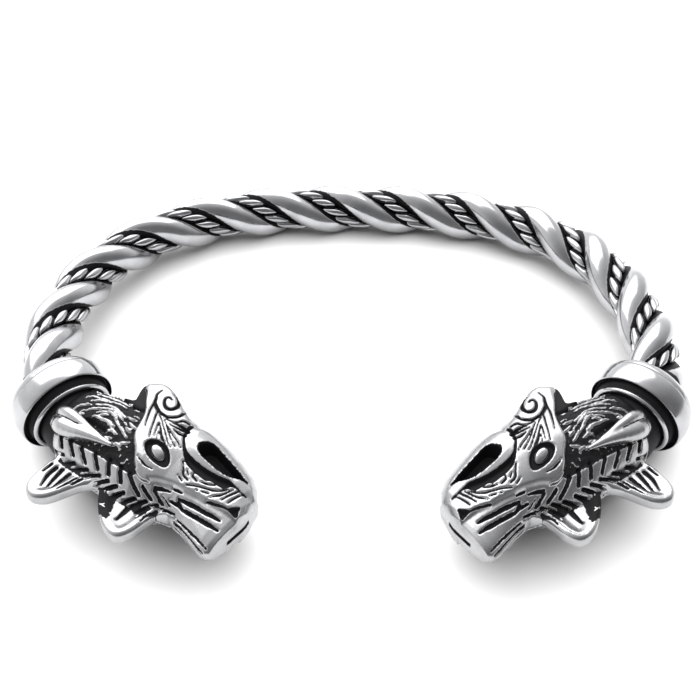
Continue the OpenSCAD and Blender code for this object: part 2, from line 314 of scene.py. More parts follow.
bead_count = int((band_length - BARE_LENGTH) / BEAD_PITCH)
# Each bead is black on its inner side and in the gaps, oxide and painted shade together
bead_oxide_and_shade = smooth(0.35, 0.0, pillow[:, 2])
for letter, start in (("a", WIRE_START), ("b", WIRE_START + 180)):
    points, faces, run = strand_tube(CORE_OFFSET, start, CORE_R, rings=700, sides=14)
    parts = [points]
    patina_and_shade = [np.ones(len(points))]
    for i in range(bead_count):
        at = band_length / 2 + (i - (bead_count - 1) / 2) * BEAD_PITCH
        along, out = ahead(at), away(at, start)
        across = unit(strand_at(at + PROBE, BEAD_OFFSET, start) - strand_at(at - PROBE, BEAD_OFFSET, start))
        size = np.array(BEAD_HALF) * chance.uniform(0.96, 1.04, 3)
        slant = math.radians(chance.uniform(-4, 4))
        long_axis = math.cos(slant) * along + math.sin(slant) * across
        bead = (pillow * size) @ np.stack([long_axis, across, out])
        before = len(points) + i * len(pillow)
        parts.append(strand_at(at, BEAD_OFFSET, start) + bead)
        faces += [[before + v for v in face] for face in pillow_faces]
        patina_and_shade.append(bead_oxide_and_shade)
    wire = add_mesh("beads_" + letter, np.concatenate(parts), faces, np.concatenate(patina_and_shade))
    wire.data.materials.append(beaded)
    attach(wire, "root")
    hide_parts("beaded_wire_" + letter)

# Collars. A turned cap of polished steel slides over each end of the band: a wide barrel rim with a
# narrower cap behind it, and in front a blackened cove with a thin ring that takes the head's neck.
BORE_R = 3.48
SEAT_R = 3.78
RING_R = 0.3
RIM_LENGTH = 2.4
RIM_R = 5.2
RIM_CROWN_R = 5.0
CAP_LENGTH = 1.3
CAP_ROUND_R = 1.2
COLLAR_SIDES = 224


def arc(x, r, radius, first, last, steps):
    """Points of a circle in the collar's cut face, by angles in degrees from straight forward."""
    turn = np.radians(np.linspace(first, last, steps))
    return np.stack([x + radius * np.cos(turn), r + radius * np.sin(turn)], 1)


# The cut face once round, as forward place and distance from the axis: bore, seat of the neck, thin ring,
# cove, barrel rim, groove and cap
back_end = -RIM_LENGTH - CAP_LENGTH
profile = np.concatenate(
    [
        [[back_end, BORE_R + 0.12], [back_end + 0.04, BORE_R + 0.02], [back_end + 0.4, BORE_R]],
        [[-1.4, BORE_R], [-1.35, BORE_R + 0.02], [-1.34, SEAT_R], [-1.25, SEAT_R + 0.02]],
        [[0.6, SEAT_R], [0.78, SEAT_R - 0.03]],
        arc(0.75, 4.0, RING_R, -55, 140, 12),
        [[0.42, 4.24], [0.3, 4.34], [0.1, 4.42], [-0.2, 4.48], [-0.38, 4.56], [-0.44, 4.68], [-0.36, 4.8]],
        [[-0.14, 4.88], [-0.03, 4.93], [0.0, 4.98], [-0.02, 5.03]],
        arc(-RIM_LENGTH / 2, RIM_R - RIM_CROWN_R, RIM_CROWN_R, 77.5, 102.5, 26),
        [[-RIM_LENGTH, 4.99], [-RIM_LENGTH - 0.03, 4.9], [-RIM_LENGTH - 0.1, 4.88]],
        arc(-RIM_LENGTH - 0.1, 4.88 - CAP_ROUND_R, CAP_ROUND_R, 88, 175, 14),
    ]
)
forward, radius = profile.T
cove_black = smooth(5.0, 4.93, radius) * smooth(-1.3, -0.5, forward) * smooth(0.62, 0.5, forward)
bore_black = smooth(SEAT_R + 0.04, SEAT_R - 0.02, radius)
groove_black = 0.75 * smooth(0.1, 0.0, np.abs(forward + RIM_LENGTH + 0.04))
profile_black = np.maximum(np.maximum(cove_black, bore_black), groove_black)

# Each collar sits square on the end of the band's line
end_ahead = ahead(np.array(PROBE))
collar_turn = math.atan2(end_ahead[1], -end_ahead[0])
collar_dip = math.asin(end_ahead[2])
collar_axes = np.array(Matrix.Rotation(-collar_turn, 3, "Z") @ Matrix.Rotation(collar_dip, 3, "Y"))
end_point = on_line(np.array(0.0))

turn = np.linspace(0, 2 * math.pi, COLLAR_SIDES, endpoint=False)
count = len(profile)
points = np.stack(
    [
        np.repeat(forward[None], COLLAR_SIDES, 0),
        np.cos(turn)[:, None] * radius[None],
        np.sin(turn)[:, None] * radius[None],
    ],
    -1,
).reshape(-1, 3)
i, k = np.meshgrid(np.arange(COLLAR_SIDES), np.arange(count), indexing="ij")
beyond, after = (i + 1) % COLLAR_SIDES, (k + 1) % count
faces = np.stack([i * count + k, i * count + after, beyond * count + after, beyond * count + k], -1)
faces = faces.reshape(-1, 4)
points = points @ collar_axes.T + end_point
patina_and_shade = np.tile(profile_black, COLLAR_SIDES)
for side, mirror in (("left", 1), ("right", -1)):
    collar = add_mesh(side + "_collar_turned", points * [mirror, 1, 1], faces[:, ::mirror], patina_and_shade)
    collar.data.materials.append(polished)
    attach(collar, "root")
    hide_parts(side + "_collar")

# Heads. Each beast head is one steel casting: a skull with a crest over the brow, an ear, two fins under
# the throat and a long muzzle. Lines, hair and herringbone are cast into both flanks and blackened; the
# rest is polished.

# A head is drawn as a field of distances in its own frame: s runs from the collar to the snout, w from the
# throat to the brow, z across. The right head is the mirror image of the left one.
HEAD_BEND = 12.76
HEAD_AHEAD = 0.5
HEAD_ASIDE = -0.3
NECK_R = 3.66
NECK_START = -1.15
NECK_END = 3.6
NECK_BLACK = 2.35
SKULL_START = 1.9
SKULL_END = 24.4
FACE_LIFT = 0.4

# Skull sections. Columns: s, top, middle, bottom, half width, power of the upper and of the lower curve
SKULL = np.array(
    [
        [1.95, 3.57, 0.00, -3.62, 3.55, 2.0, 2.0],
        [2.56, 3.59, -0.20, -4.28, 4.00, 2.0, 1.9],
        [3.83, 3.57, -0.20, -5.00, 4.40, 2.0, 1.8],
        [6.05, 3.98, 0.00, -5.30, 4.65, 2.0, 1.8],
        [8.08, 3.98, 0.00, -5.30, 4.80, 2.2, 1.8],
        [10.08, 4.28, 0.51, -5.41, 4.90, 2.4, 1.8],
        [12.10, 4.69, 0.82, -5.51, 4.90, 2.6, 1.8],
        [13.91, 4.79, 0.82, -5.41, 4.70, 2.8, 1.8],
        [15.13, 4.59, 0.71, -5.00, 4.40, 2.8, 1.8],
        [16.64, 4.75, 0.82, -4.49, 3.87, 2.6, 1.9],
        [18.15, 4.60, 0.82, -4.08, 3.42, 2.4, 2.1],
        [20.15, 4.10, 0.61, -4.39, 2.80, 2.2, 2.2],
        [21.79, 3.50, 0.31, -4.90, 2.30, 2.2, 2.3],
        [22.98, 2.65, 0.00, -5.20, 1.90, 2.2, 2.4],
        [23.79, 1.60, -0.61, -5.20, 1.57, 2.2, 2.4],
        [24.20, 0.40, -1.43, -4.90, 1.27, 2.2, 2.4],
        [24.40, -1.00, -2.04, -4.28, 0.70, 2.0, 2.2],
    ]
)

# The throat turns under below this height; from there down the drawing follows the curve round
UNDER = -3.4
UNDER_CENTRE = -1.5
UNDER_R = 3.75

# Drawing board for the relief: s and unrolled height
BOARD = 0.04
board_s = np.arange(-0.5, 26.1, BOARD)
board_u = np.arange(-10.6, 6.6, BOARD)


def curve(points, steps=8):
    """A smooth line through points."""
    p = np.array(points, float)
    if len(p) < 3:
        return p
    padded = np.concatenate([[2 * p[0] - p[1]], p, [2 * p[-1] - p[-2]]])
    t = np.linspace(0, 1, steps, endpoint=False)[:, None]
    parts = []
    for i in range(len(p) - 1):
        a, b, c, d = padded[i : i + 4]
        squared, cubed = 2 * a - 5 * b + 4 * c - d, 3 * b - a - 3 * c + d
        parts.append(0.5 * (2 * b + (c - a) * t + squared * t**2 + cubed * t**3))
    return np.concatenate([*parts, p[-1:]])


def draw(board, points, half_widths, reach=0.5):
    """Marks a line on a board of distances, below zero inside it; its half widths go from end to end."""
    line = curve(points)
    share = np.linspace(0, 1, len(line))
    widths = np.interp(share, np.linspace(0, 1, len(half_widths)), half_widths)
    margin = max(half_widths) + reach
    for (s0, u0), (s1, u1), w0, w1 in zip(line[:-1], line[1:], widths[:-1], widths[1:]):
        i0, i1 = np.searchsorted(board_s, [min(s0, s1) - margin, max(s0, s1) + margin])
        k0, k1 = np.searchsorted(board_u, [min(u0, u1) - margin, max(u0, u1) + margin])
        ds, du = board_s[i0:i1, None] - s0, board_u[None, k0:k1] - u0
        length = max((s1 - s0) ** 2 + (u1 - u0) ** 2, 1e-9)
        t = np.clip((ds * (s1 - s0) + du * (u1 - u0)) / length, 0, 1)
        away_by = np.hypot(ds - t * (s1 - s0), du - t * (u1 - u0)) - (w0 + t * (w1 - w0))
        board[i0:i1, k0:k1] = np.minimum(board[i0:i1, k0:k1], away_by)


def blank():
    return np.full((len(board_s), len(board_u)), 9.0)


def area(points, steps=6):
    """Distance from a closed smooth outline, below zero inside it, worked out up to 2 mm round it."""
    p = np.array(points, float)
    line = curve(np.concatenate([p[-2:], p, p[:3]]), steps)[2 * steps : (2 + len(p)) * steps]
    i0, i1 = np.searchsorted(board_s, [line[:, 0].min() - 2, line[:, 0].max() + 2])
    k0, k1 = np.searchsorted(board_u, [line[:, 1].min() - 2, line[:, 1].max() + 2])
    s, u = board_s[i0:i1, None], board_u[None, k0:k1]
    nearest = np.full((i1 - i0, k1 - k0), 9.0)
    inside = np.zeros(nearest.shape, bool)
    for (s0, u0), (s1, u1) in zip(line, np.roll(line, -1, 0)):
        length = max((s1 - s0) ** 2 + (u1 - u0) ** 2, 1e-9)
        t = np.clip(((s - s0) * (s1 - s0) + (u - u0) * (u1 - u0)) / length, 0, 1)
        nearest = np.minimum(nearest, np.hypot(s - s0 - t * (s1 - s0), u - u0 - t * (u1 - u0)))
        if u0 != u1:
            inside ^= ((u0 > u) != (u1 > u)) & (s < s0 + (u - u0) * (s1 - s0) / (u1 - u0))
    board = blank()
    board[i0:i1, k0:k1] = np.where(inside, -nearest, nearest)
    return board


def oval(s, u, half_s, half_u, tilt):
    """How far out each place lies in an oval, 0 in its middle and 1 on its edge."""
    a = math.radians(tilt)
    ds, du = board_s[:, None] - s, board_u[None, :] - u
    along, across = ds * math.cos(a) + du * math.sin(a), du * math.cos(a) - ds * math.sin(a)
    return np.hypot(along / half_s, across / half_u)


# Outlines of the solid forms; the backing is the web behind the crest, black all over for oxide and for
# painted shade in that recess
CREST = [
    (7.05, 4.55), (7.6, 5.3), (8.4, 5.9), (9.2, 6.0), (10.1, 5.8), (11.5, 5.1), (12.9, 4.4), (14.2, 3.78),
    (15.0, 3.0), (15.0, 1.6), (14.4, 0.6), (12.0, 0.5), (10.3, 0.6), (8.3, 1.9), (8.1, 2.8),
]  # fmt: skip
BACKING = [(6.5, 2.2), (7.45, 2.6), (7.35, 3.1), (7.0, 3.85), (6.8, 4.5), (7.1, 4.9), (9.5, 5.0), (9.5, 2.0)]
FIN_ONE = [
    (4.3, -4.2), (4.15, -5.4), (4.1, -6.6), (4.3, -8.3), (4.8, -9.4), (5.7, -10.0), (6.6, -9.95),
    (7.4, -9.4), (7.95, -8.5), (8.4, -7.4), (8.9, -6.3), (9.6, -5.4), (10.2, -4.4),
]  # fmt: skip
FIN_TWO = [
    (10.0, -4.4), (10.9, -5.8), (12.0, -6.9), (13.2, -7.8), (14.2, -8.4), (15.4, -8.7), (16.4, -8.4),
    (16.95, -7.3), (17.05, -5.8), (17.2, -4.6), (17.6, -3.8), (14.0, -3.6),
]  # fmt: skip
NOSTRIL = [
    (16.9, 2.0), (16.95, 2.4), (17.25, 2.95), (17.8, 3.15), (19.0, 3.0), (20.0, 2.85), (21.0, 2.7),
    (21.8, 2.5), (22.4, 2.38), (21.9, 2.15), (21.3, 1.75), (20.6, 1.4), (19.6, 1.22), (18.4, 1.2),
    (17.6, 1.32), (17.1, 1.6),
]  # fmt: skip
crest_edge = area(CREST)
backing_edge = area(BACKING)
fin_edge_one = area(FIN_ONE)
fin_edge_two = area(FIN_TWO)
nostril_edge = area(NOSTRIL)


def cloud(size):
    """Smooth seeded noise on the board, from -1 to 1, with lumps of about one size in millimetres."""
    knots = [np.arange(board[0], board[-1] + 2 * size, size) for board in (board_s, board_u)]
    values = chance.uniform(-1, 1, (len(knots[0]), len(knots[1])))
    rows = np.stack([np.interp(board_u, knots[1], row) for row in values])
    return np.stack([np.interp(board_s, knots[0], column) for column in rows.T]).T


# Castings of this size have uneven black edges
ragged = 0.05 * cloud(0.25) + 0.04 * cloud(0.12)

# The face stands proud of the neck and the jaw: from the crest's tip down behind the eye and on as the
# upper lip
FACE = [
    (7.3, 4.2), (8.0, 3.75), (8.5, 3.25), (9.0, 2.7), (9.5, 2.2), (10.0, 1.7), (10.5, 1.1), (11.0, 0.15),
    (11.35, -0.9), (11.8, -1.5), (12.5, -2.1), (13.2, -2.9), (14.0, -3.5), (14.8, -3.7), (15.5, -3.4),
    (16.2, -2.95), (17.0, -2.65), (18.0, -2.35), (20.0, -1.95), (21.2, -1.8), (22.5, -1.4), (24.0, -1.2),
    (26.5, -0.5), (26.5, 8.0), (7.3, 8.0),
]  # fmt: skip
face_edge = area(FACE, 4)
lift = FACE_LIFT * smooth(0.12, -0.28, face_edge)

# Fur behind the face: a black ground with bright strands that flow over the ear and on to the eye
FUR = [
    (-0.4, 6.4), (-0.4, -4.0), (2.2, -4.2), (4.0, -4.5), (7.0, -4.25), (10.0, -4.1), (13.3, -3.95),
    (14.0, -3.5), (13.2, -2.9), (12.5, -2.1), (11.8, -1.5), (11.35, -0.9), (11.0, 0.15), (10.5, 1.1),
    (9.5, 2.2), (8.5, 3.25), (7.4, 4.1), (6.6, 6.4),
]  # fmt: skip
FUR_DEPTH = 0.2
fur_edge = area(FUR, 4)
fur_ground = smooth(0.1, -0.06, fur_edge + ragged)
lift -= FUR_DEPTH * smooth(0.1, -0.15, fur_edge)
STRANDS = (
    [(2.0, 1.75), (2.7, 1.6), (3.2, 1.65), (3.8, 1.6)],
    [(3.35, 0.05), (3.7, 0.4), (4.2, 0.65), (4.7, 0.75), (5.3, 0.85), (5.9, 1.0)],
    [(4.3, -0.05), (4.75, 0.25), (5.15, 0.55), (5.7, 0.7), (6.2, 0.9), (6.7, 1.1), (7.3, 1.2), (8.15, 1.1)],
    [(3.4, -1.75), (3.65, -1.3), (4.0, -0.95), (4.5, -0.6), (4.85, -0.45)],
    [(5.15, -0.2), (5.7, 0.05), (6.3, 0.3), (6.95, 0.45), (7.6, 0.4), (8.75, 0.1), (9.2, 0.0)],
    [(4.4, -1.55), (4.75, -1.3), (5.15, -1.0), (5.65, -0.65), (6.15, -0.35), (7.1, 0.1), (7.5, 0.15),
     (8.15, 0.0), (8.7, -0.2), (9.25, -0.35)],
    [(4.3, -1.85), (4.65, -1.8), (5.0, -1.65)],
    [(6.1, -0.95), (6.6, -0.65), (7.05, -0.4), (7.5, -0.25), (8.15, -0.4), (8.8, -0.75), (9.3, -1.0),
     (9.95, -1.25)],
    [(6.05, -1.45), (6.5, -1.25), (7.0, -0.8), (7.45, -0.65)],
    [(8.45, -2.6), (9.05, -2.45), (9.6, -2.3)],
    [(8.75, -2.9), (9.35, -2.75), (10.0, -2.7), (10.3, -2.65)],
    [(10.0, -0.25), (10.6, -0.35), (11.05, -0.4)],
    [(10.0, -0.8), (10.45, -0.9), (10.85, -0.95)],
    [(9.3, 0.25), (9.9, 0.2), (10.45, 0.3)],
    [(9.7, 0.65), (10.3, 0.7)],
    [(9.1, 1.3), (9.5, 1.45)],
    [(9.65, -1.0), (10.2, -1.3), (10.9, -1.55)],
    [(10.65, -2.25), (11.15, -2.05), (11.45, -1.8)],
    [(10.2, -2.45), (10.65, -2.45), (10.95, -2.45)],
    [(8.5, -1.9), (8.95, -1.9)],
    [(9.2, -1.65), (9.8, -1.75)],
    [(9.45, -0.45), (9.95, -0.6)],
    [(2.9, 2.3), (4.2, 2.5), (5.6, 2.45), (7.0, 2.2), (8.0, 1.9)],
    [(3.8, 1.2), (4.8, 1.5), (5.9, 1.6), (7.0, 1.7), (8.0, 1.6)],
    [(3.2, 2.95), (4.6, 3.15), (6.0, 3.1), (7.0, 2.8)],
    [(4.0, 3.45), (5.4, 3.6), (6.6, 3.4)],
)  # fmt: skip
strands = blank()
for line in STRANDS:
    draw(strands, line, [0.06, 0.12, 0.13, 0.12, 0.06])
THICK_STRAND = [(6.7, -1.3), (7.55, -1.2), (8.15, -1.2), (8.75, -1.4), (9.05, -1.65), (9.6, -1.75)]
draw(strands, THICK_STRAND, [0.1, 0.18, 0.2, 0.18, 0.12])
lift += FUR_DEPTH * smooth(0.1, -0.12, strands)
black = np.minimum(fur_ground, smooth(-0.05, 0.08, strands + 0.6 * ragged))

# The ground is rough, and bright flecks show in it below the cheek and along the throat
ROUGH_HEIGHT = 0.07
flecks = cloud(0.2) + 0.5 * cloud(0.5)
lift += ROUGH_HEIGHT * fur_ground * flecks
by_cheek = smooth(9.0, 10.0, board_s)[:, None]
by_throat = smooth(-1.0, -2.0, board_u)[None] * smooth(5.0, 6.0, board_s)[:, None]
black *= 1 - 0.8 * smooth(0.6, 0.9, flecks) * np.maximum(by_cheek, by_throat)

# Hollow above the ear
HOLLOW = [
    (5.2, -1.95), (6.0, -1.6), (7.3, -1.6), (8.5, -1.75), (8.8, -2.1), (8.0, -2.35), (6.6, -2.35),
    (5.6, -2.3),
]  # fmt: skip
HOLLOW_DEPTH = 0.4
lift -= HOLLOW_DEPTH * smooth(0.05, -0.35, area(HOLLOW))

# The web behind the crest is painted black, for oxide and for the shade in that recess, and the neck close to
# the collar is left black
WEB = [(7.2, 4.2), (7.9, 3.1), (8.25, 2.5), (8.2, 1.7), (9.9, 1.75), (9.5, 2.2), (8.5, 3.25), (8.0, 3.75)]
WEB_DEPTH = 0.3
web = smooth(0.15, -0.1, area(WEB))
lift -= WEB_DEPTH * web
black = np.maximum(black, web)
black = np.maximum(black, smooth(3.1, 2.3, board_s)[:, None] * smooth(-6.6, -6.2, board_u)[None, :])

# Bold engraved lines: the spiral of the crest, the brow's nested chevrons and curls, the crease of the cheek.
# Each has its points and its half widths from end to end.
BOLD = (
    ([(11.1, 4.3), (10.85, 4.4), (10.6, 4.3), (10.5, 4.05), (10.65, 3.75), (11.0, 3.4), (11.4, 3.2),
      (11.8, 3.15), (12.1, 3.3), (12.25, 3.6), (12.15, 4.0), (11.9, 4.35), (11.5, 4.7), (11.0, 5.0),
      (10.4, 5.15)],
     [0.08, 0.11, 0.13, 0.2, 0.2, 0.14, 0.03]),
    ([(9.4, 4.7), (9.4, 4.0), (9.75, 3.5), (10.1, 3.0), (10.5, 2.75), (11.2, 2.4), (12.0, 2.2), (12.6, 2.25),
      (13.05, 2.55), (13.35, 3.0), (13.35, 3.4), (13.15, 4.0)], [0.05, 0.12, 0.17, 0.15, 0.18, 0.16, 0.1]),
    ([(10.0, 3.0), (10.4, 2.2), (10.8, 1.6), (11.2, 1.0), (11.6, 0.4), (11.9, 0.05)], [0.1, 0.08, 0.04]),
    ([(11.0, 2.55), (11.4, 2.0), (11.8, 1.4), (12.2, 0.8), (12.6, 0.1), (13.05, -0.6)], [0.08, 0.07, 0.05]),
    ([(13.4, -0.35), (13.25, -0.1), (12.9, 0.5), (12.6, 1.12), (13.2, 0.75), (13.9, 0.2), (14.7, -0.2)],
     [0.04, 0.06, 0.07, 0.05]),
    ([(13.8, -0.35), (13.6, -0.1), (13.4, 0.38), (14.0, 0.0), (14.4, -0.2)], [0.04, 0.06, 0.04]),
    ([(11.7, 2.0), (12.6, 1.55), (13.2, 1.1), (14.0, 0.6), (14.9, 0.0), (15.3, -0.15)], [0.04, 0.06, 0.05]),
    ([(12.5, 1.88), (13.3, 1.4), (14.0, 0.95), (14.8, 0.5), (15.6, 0.2)], [0.04, 0.06, 0.05]),
    ([(13.5, 1.4), (14.4, 1.0), (15.2, 0.8), (16.0, 0.5)], [0.04, 0.06, 0.05]),
    ([(12.7, 1.95), (13.5, 2.1), (13.9, 2.4), (14.1, 2.8), (14.6, 3.05)], [0.05, 0.08, 0.14, 0.12]),
    ([(13.6, 1.95), (14.4, 2.2), (15.2, 2.25)], [0.06, 0.16, 0.2]),
    ([(13.5, 1.65), (14.2, 1.75), (14.9, 2.0)], [0.04, 0.08, 0.1]),
    ([(14.2, 1.45), (14.9, 1.5), (15.4, 1.75)], [0.05, 0.13, 0.1]),
    ([(13.4, -2.5), (13.9, -2.65), (14.6, -2.7), (15.3, -2.6)], [0.04, 0.08, 0.04]),
)  # fmt: skip

# Herringbone along the throat, upper and lower strokes
UPPER = (
    [(4.0, -4.4), (4.6, -5.4)], [(5.4, -4.3), (6.4, -5.5)], [(7.1, -4.4), (8.1, -5.5)],
    [(8.9, -4.2), (9.8, -5.3)], [(10.7, -3.9), (11.3, -5.15)], [(12.2, -3.9), (12.9, -5.1)],
    [(13.4, -4.0), (15.0, -5.2)], [(15.1, -4.2), (16.2, -4.8)], [(16.3, -3.7), (17.4, -4.4)],
)  # fmt: skip
LOWER = (
    [(5.1, -6.1), (3.2, -6.6), (2.4, -7.2)], [(6.8, -6.3), (4.6, -7.4)], [(8.6, -6.05), (6.3, -7.3)],
    [(10.3, -5.75), (7.5, -7.4)], [(11.5, -5.7), (9.0, -7.5)], [(12.6, -5.7), (10.5, -7.4)],
    [(13.6, -5.85), (11.9, -7.5)], [(14.8, -5.8), (13.2, -7.5)], [(15.9, -5.3), (14.8, -6.8), (14.2, -7.6)],
    [(17.0, -4.9), (15.9, -6.4), (15.2, -7.6)], [(18.9, -4.6), (17.6, -5.1), (16.6, -6.3), (16.0, -7.6)],
)  # fmt: skip

# Grooves of the jaw
JAW = (
    ([(18.7, -2.85), (19.5, -2.75), (20.5, -2.6), (21.5, -2.5), (22.5, -2.3), (23.1, -2.2)],
     [0.1, 0.2, 0.2, 0.12]),
    ([(18.9, -3.05), (19.6, -3.45), (20.5, -3.4), (21.5, -3.3), (22.5, -3.15), (23.6, -3.0)],
     [0.15, 0.26, 0.25, 0.12]),
    ([(19.6, -5.05), (21.6, -5.0), (23.8, -4.9)], [0.16, 0.15, 0.08]),
    ([(19.3, -5.8), (21.0, -5.65), (23.6, -5.45)], [0.3, 0.18, 0.1]),
    ([(17.8, -2.5), (18.7, -2.35)], [0.08, 0.08]),
    ([(18.0, -3.3), (18.9, -3.3)], [0.08, 0.12]),
    ([(16.1, -3.35), (17.0, -3.0), (17.7, -2.8)], [0.12, 0.12, 0.06]),
    ([(17.2, -3.5), (18.2, -4.0)], [0.1, 0.1]),
)  # fmt: skip
ENGRAVED_DEPTH = 0.36
engraved = blank()
for line, half_widths in BOLD + JAW:
    draw(engraved, line, half_widths)
strokes = blank()
for line in UPPER:
    draw(strokes, line, [0.22, 0.31, 0.31, 0.24])
for line in LOWER:
    draw(strokes, line, [0.19, 0.27, 0.22])
engraved = np.minimum(engraved, strokes + 0.5 * ragged)
lift -= ENGRAVED_DEPTH * smooth(0.09, -0.15, engraved)
black = np.maximum(black, smooth(0.06, -0.03, engraved + 0.4 * ragged))

# Fine hair lines behind the lip, and a few small pits
HAIR = (
    [(17.0, -0.3), (17.5, -0.8), (18.0, -1.3), (18.6, -1.4)], [(18.5, -0.5), (18.7, -0.85), (19.3, -0.95)],
    [(18.8, -1.8), (19.5, -1.35), (20.3, -0.95), (21.0, -0.6), (21.5, -0.1), (21.8, 0.5)],
    [(20.3, -1.4), (20.9, -1.1)], [(21.3, -1.1), (21.7, -0.6), (21.9, 0.0), (22.1, 0.8)],
    [(22.1, -0.8), (22.2, -0.2), (22.4, 0.5), (22.5, 1.0)], [(22.7, -0.6), (22.75, 0.0), (22.95, 1.1)],
    [(19.8, -1.62), (19.9, -1.55)], [(21.15, -1.35), (21.25, -1.25)],
    [(21.2, -1.75), (21.8, -1.5), (22.5, -1.2), (23.1, -1.05), (23.9, -1.05)], [(17.6, -1.6), (18.2, -1.75)],
    [(19.6, -0.75), (20.2, -0.5), (20.7, -0.1)], [(17.9, -0.75), (18.3, -1.0)],
)  # fmt: skip
HAIR_DEPTH = 0.17
hair = blank()
for line in HAIR:
    draw(hair, line, [0.06, 0.1, 0.07])
lift -= HAIR_DEPTH * smooth(0.09, -0.08, hair)
black = np.maximum(black, smooth(0.08, -0.04, hair + 0.5 * ragged))

# The nostril's swelling, with a deep black gap between it and the lip, and the pit at the lip's front end
SWELLING = [
    (15.0, 3.3), (15.1, 2.6), (15.3, 2.0), (15.5, 1.5), (16.0, 1.0), (16.5, 0.65), (17.2, 0.48),
    (18.0, 0.45), (18.8, 0.5), (19.5, 0.62), (20.2, 0.8), (20.9, 1.1), (21.3, 1.25), (22.0, 1.2),
    (23.2, 1.2), (24.2, 1.4), (25.5, 1.6), (25.5, 4.6), (20.0, 6.0), (15.6, 5.6), (15.1, 4.2),
]  # fmt: skip
GAP_UNDER = [
    (14.8, 3.2), (14.85, 2.6), (15.05, 2.0), (15.4, 1.35), (16.0, 0.75), (16.5, 0.3), (17.0, -0.1),
    (17.5, -0.35), (18.3, -0.45), (19.0, -0.45), (19.8, -0.4), (20.2, -0.1), (21.3, 0.1), (21.6, 0.4),
    (22.0, 1.0), (23.2, 1.05), (23.2, 1.3), (22.0, 1.3), (21.2, 1.3), (20.2, 0.9), (18.8, 0.6),
    (17.2, 0.58), (16.0, 1.1), (15.3, 2.1), (15.1, 3.2),
]  # fmt: skip
PIT = [(23.05, -1.05), (23.3, -0.6), (23.7, -0.1), (23.9, -0.5), (24.05, -1.05)]
SWELLING_HEIGHT = 0.2
GAP_DEPTH = 0.55
swelling_edge = area(SWELLING, 4)
lift += SWELLING_HEIGHT * smooth(0.1, -0.9, swelling_edge)
gap_edge = np.maximum(np.minimum(area(GAP_UNDER, 4), area(PIT, 3)), -swelling_edge - 0.05)
lift -= GAP_DEPTH * smooth(0.06, -0.3, gap_edge)
black = np.maximum(black, smooth(0.1, -0.04, gap_edge + 0.5 * ragged))

# Eye: a black almond socket with a polished ball in it
SOCKET = [
    (13.6, -1.75), (13.15, -1.3), (13.3, -0.75), (13.95, -0.35), (14.9, -0.25), (15.75, -0.7),
    (16.25, -1.35), (16.15, -1.85), (15.35, -2.1), (14.3, -2.05),
]  # fmt: skip
SOCKET_DEPTH = 0.5
BALL = (14.6, -1.12)
BALL_HEIGHT = 0.45
socket_edge = area(SOCKET)
ball_out = oval(*BALL, half_s=0.9, half_u=0.56, tilt=-12)
lift -= SOCKET_DEPTH * smooth(0.08, -0.25, socket_edge)
lift += BALL_HEIGHT * np.sqrt(np.clip(1 - ball_out**3, 0, None))
black = np.maximum(black, smooth(0.08, -0.05, socket_edge))
black = np.where(ball_out < 1, smooth(0.9, 1.0, ball_out), black)

# Faces of the fins: a shallow dish inside a rim, a faint line along the rim, and black strokes that run down
# from the throat
FIN_STROKES = (
    ([(5.3, -6.1), (5.4, -7.2), (5.9, -8.5)], [0.2, 0.16, 0.05]),
    ([(5.9, -5.9), (6.2, -7.2), (6.5, -8.4)], [0.22, 0.18, 0.05]),
    ([(6.9, -5.9), (6.95, -7.2), (7.0, -8.2)], [0.22, 0.16, 0.05]),
    ([(7.9, -5.9), (7.75, -7.2), (7.6, -8.0)], [0.2, 0.14, 0.05]),
    ([(4.7, -6.1), (4.75, -7.2)], [0.14, 0.08]),
    ([(8.5, -5.8), (8.3, -6.7)], [0.2, 0.12]),
    ([(14.5, -4.9), (14.6, -6.0), (14.7, -7.0)], [0.26, 0.26, 0.14]),
    ([(15.9, -4.8), (15.5, -5.4)], [0.2, 0.12]),
    ([(17.1, -4.4), (16.7, -5.2), (16.75, -6.0)], [0.2, 0.14, 0.05]),
    ([(16.3, -5.0), (16.1, -5.8)], [0.1, 0.05]),
)
DISH_DEPTH = 0.3
STROKE_DEPTH = 0.25
CONTOUR_DEPTH = 0.06
CONTOUR_INSET = 0.55
fin_edge = np.minimum(fin_edge_one, fin_edge_two)
fin_strokes = blank()
for line, half_widths in FIN_STROKES:
    draw(fin_strokes, line, half_widths)
fin_lift = -DISH_DEPTH * smooth(-0.3, -1.7, fin_edge) - STROKE_DEPTH * smooth(0.08, -0.12, fin_strokes)
fin_lift -= CONTOUR_DEPTH * smooth(0.1, 0.02, np.abs(fin_edge + CONTOUR_INSET))

# Black lies in the strokes, painted shade along the fins' roots under the throat, and oxide with painted
# shade on the rough foot of the second fin
FOOT = [(9.6, -4.2), (12.2, -4.4), (13.3, -6.0), (14.0, -7.2), (14.0, -7.7), (13.0, -7.6), (11.6, -6.7)]
# Painted shade along the fins' roots, under the overhang of the throat
roots = smooth(-5.7, -5.4, board_u[None, :] + 2 * ragged) * smooth(-0.5, -0.8, fin_edge + ragged)
foot = smooth(0.15, -0.15, area(FOOT) + 2 * ragged) * smooth(0.9, 0.5, flecks)
fin_black = np.maximum(smooth(0.1, -0.04, fin_strokes + 0.6 * ragged), np.maximum(roots, foot))


def on_board(board, s, u):
    """Value of a board at any places, between its points."""
    x = np.clip((s - board_s[0]) / BOARD, 0, len(board_s) - 1.001)
    y = np.clip((u - board_u[0]) / BOARD, 0, len(board_u) - 1.001)
    i, k = x.astype(int), y.astype(int)
    x, y = x - i, y - k
    low = board[i, k] * (1 - x) + board[i + 1, k] * x
    high = board[i, k + 1] * (1 - x) + board[i + 1, k + 1] * x
    return low * (1 - y) + high * y


